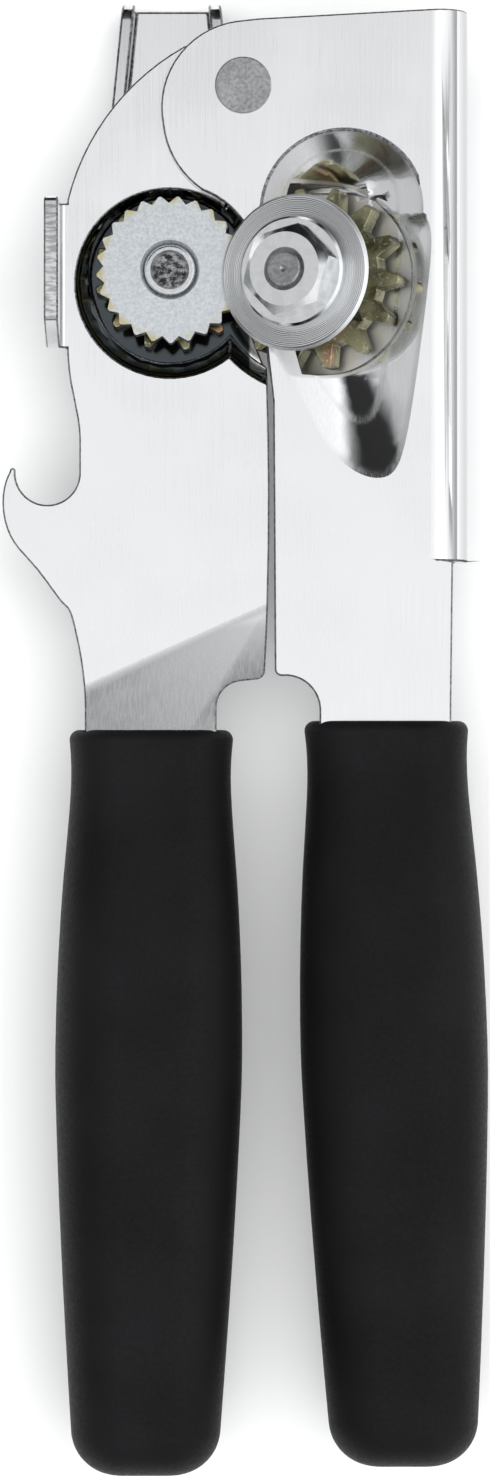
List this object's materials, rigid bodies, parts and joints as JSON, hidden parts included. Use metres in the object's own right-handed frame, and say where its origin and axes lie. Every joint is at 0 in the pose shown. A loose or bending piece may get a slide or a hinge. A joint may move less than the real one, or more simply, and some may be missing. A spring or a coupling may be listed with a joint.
{
  "type": "manual can opener",
  "caption": "Hand can opener with two pivoted steel handles in black grips, a geared feed wheel and tilted cutting wheel, a turning key behind, and a bottle hook.",
  "frame": {"origin": "middle of the footprint, at the level of the turning key's back", "axes": "+Y along the handles towards the pivot end, +Z out of the working side with the feed wheel and cutter, +X towards the handle that carries the cutter"},
  "size_m": [0.0589, 0.1802, 0.0283],
  "materials": {
    "plate_steel": "bright nickel plate over fine brushing",
    "grip_black": "matte black soft plastic",
    "rivet_steel": "dull zinc-plated steel",
    "shaft_steel": "plain turned steel",
    "bush_steel": "plain steel",
    "key_steel": "bright nickel plate",
    "gear_chromate": "yellow-olive chromate over zinc",
    "feed_zinc": "pale granular zinc",
    "cutter_steel": "turned hardened steel",
    "nut_steel": "bright plated steel"
  },
  "bodies": {
    "left_handle": {"left_frame": "plate_steel", "left_grip": "grip_black", "pivot_rivet": "rivet_steel", "pivot_washer": "rivet_steel", "shaft_bush": "bush_steel"},
    "right_handle": {"right_frame": "plate_steel", "right_grip": "grip_black", "cutter_stud": "rivet_steel", "cutter_nut": "nut_steel", "gear_thrust_washer": "bush_steel"},
    "crank": {"drive_shaft": "shaft_steel", "crank_washer": "bush_steel", "crank_collar": "shaft_steel", "crank_key": "key_steel", "drive_gear": "gear_chromate", "feed_wheel_spacer": "gear_chromate", "feed_wheel": "feed_zinc"},
    "cutter": {"cutter_gear": "gear_chromate", "cutter_hub": "cutter_steel", "cutter_wheel": "cutter_steel"}
  },
  "joints": [
    {"name": "handle_pivot", "type": "hinge", "parent": "left_handle", "child": "right_handle", "pos_m": [-0.0002, 0.0779, 0.0182], "axis": [0, 0, 1], "range_deg": [0, 70]},
    {"name": "crank_spin", "type": "hinge", "parent": "left_handle", "child": "crank", "pos_m": [-0.00905, 0.05575, 0.0182], "axis": [0, 0, 1], "continuous": true},
    {"name": "cutter_spin", "type": "hinge", "parent": "right_handle", "child": "cutter", "pos_m": [0.00586, 0.05497, 0.02365], "axis": [-0.3822, 0.02, 0.9239], "continuous": true}
  ],
  "couplings": [
    {"joint": "cutter_spin", "follows": "crank_spin", "ratio": -0.85714}
  ]
}
